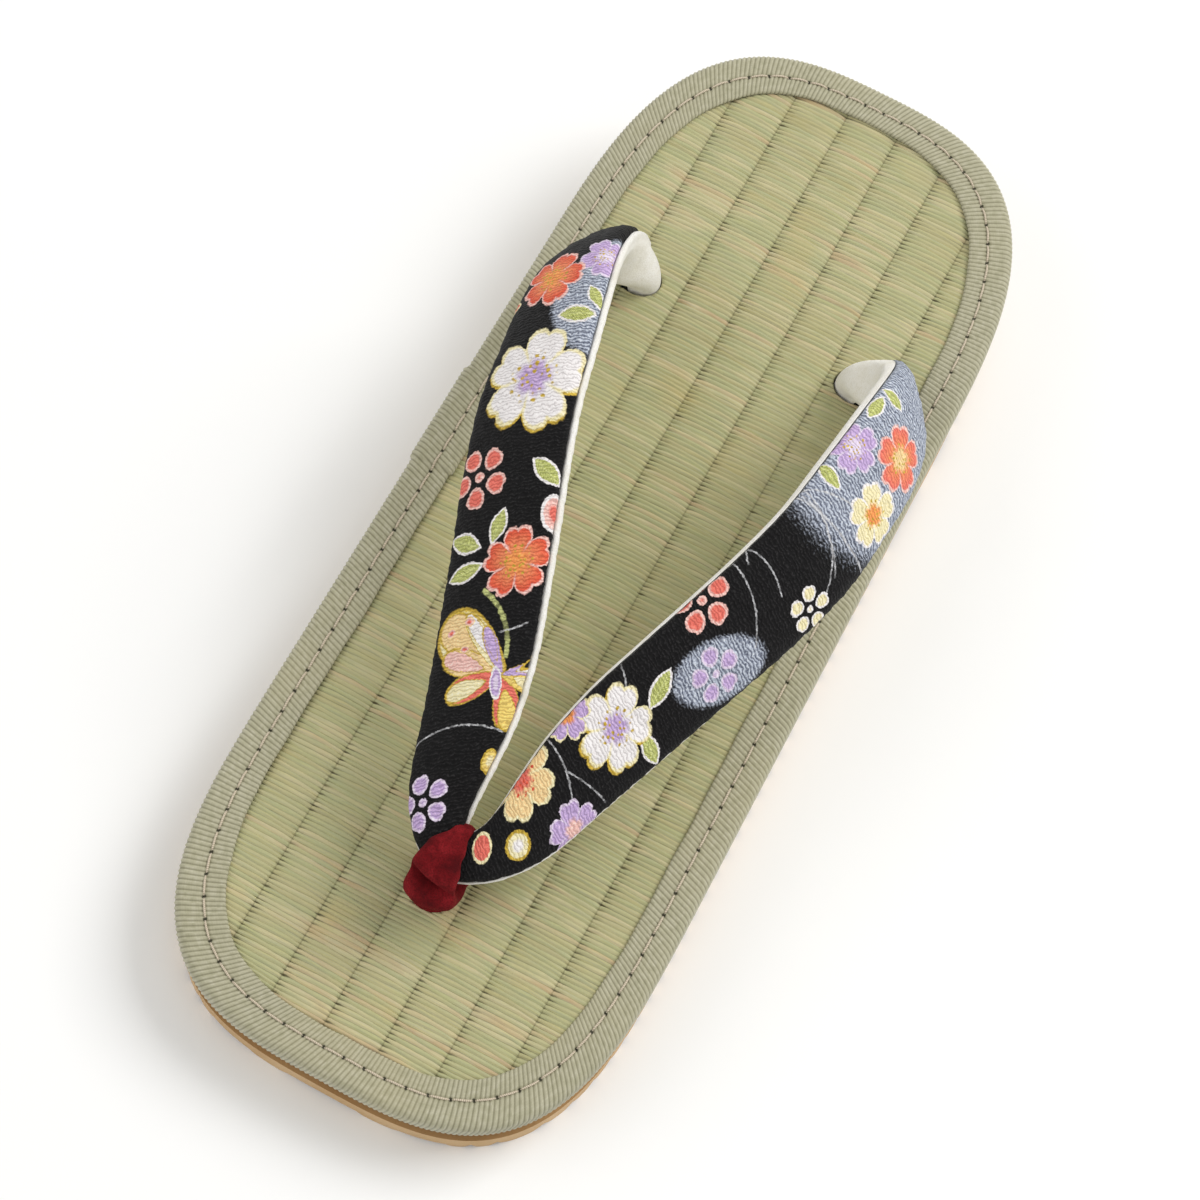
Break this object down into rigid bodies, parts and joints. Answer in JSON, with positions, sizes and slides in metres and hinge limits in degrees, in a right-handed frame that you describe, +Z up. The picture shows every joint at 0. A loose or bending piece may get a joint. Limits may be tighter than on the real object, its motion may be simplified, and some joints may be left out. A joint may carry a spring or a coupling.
{
  "type": "zori sandal",
  "caption": "Flat wedge sandal with a woven rush footbed, bound edge, padded printed straps and a velvet toe post.",
  "frame": {"origin": "centre of the shoe's plan at the floor under the sole", "axes": "+Z up, toe towards -Y, heel towards +Y, +X to the wearer's left"},
  "size_m": [0.0948, 0.24, 0.0629],
  "materials": {
    "outsole_rubber": "matt sponge rubber",
    "wedge_foam": "smooth matt foam",
    "rush_mat": "woven rush, soft sheen",
    "binding_tape": "ribbed tape",
    "printed_crepe": "printed crepe",
    "lining_velvet": "velvet",
    "post_velvet": "velvet"
  },
  "bodies": {
    "root": {"outsole": "outsole_rubber", "midsole": "wedge_foam", "footbed": "rush_mat", "binding": "binding_tape", "straps": "printed_crepe", "strap_lining": "lining_velvet", "toe_post": "post_velvet"}
  },
  "joints": []
}
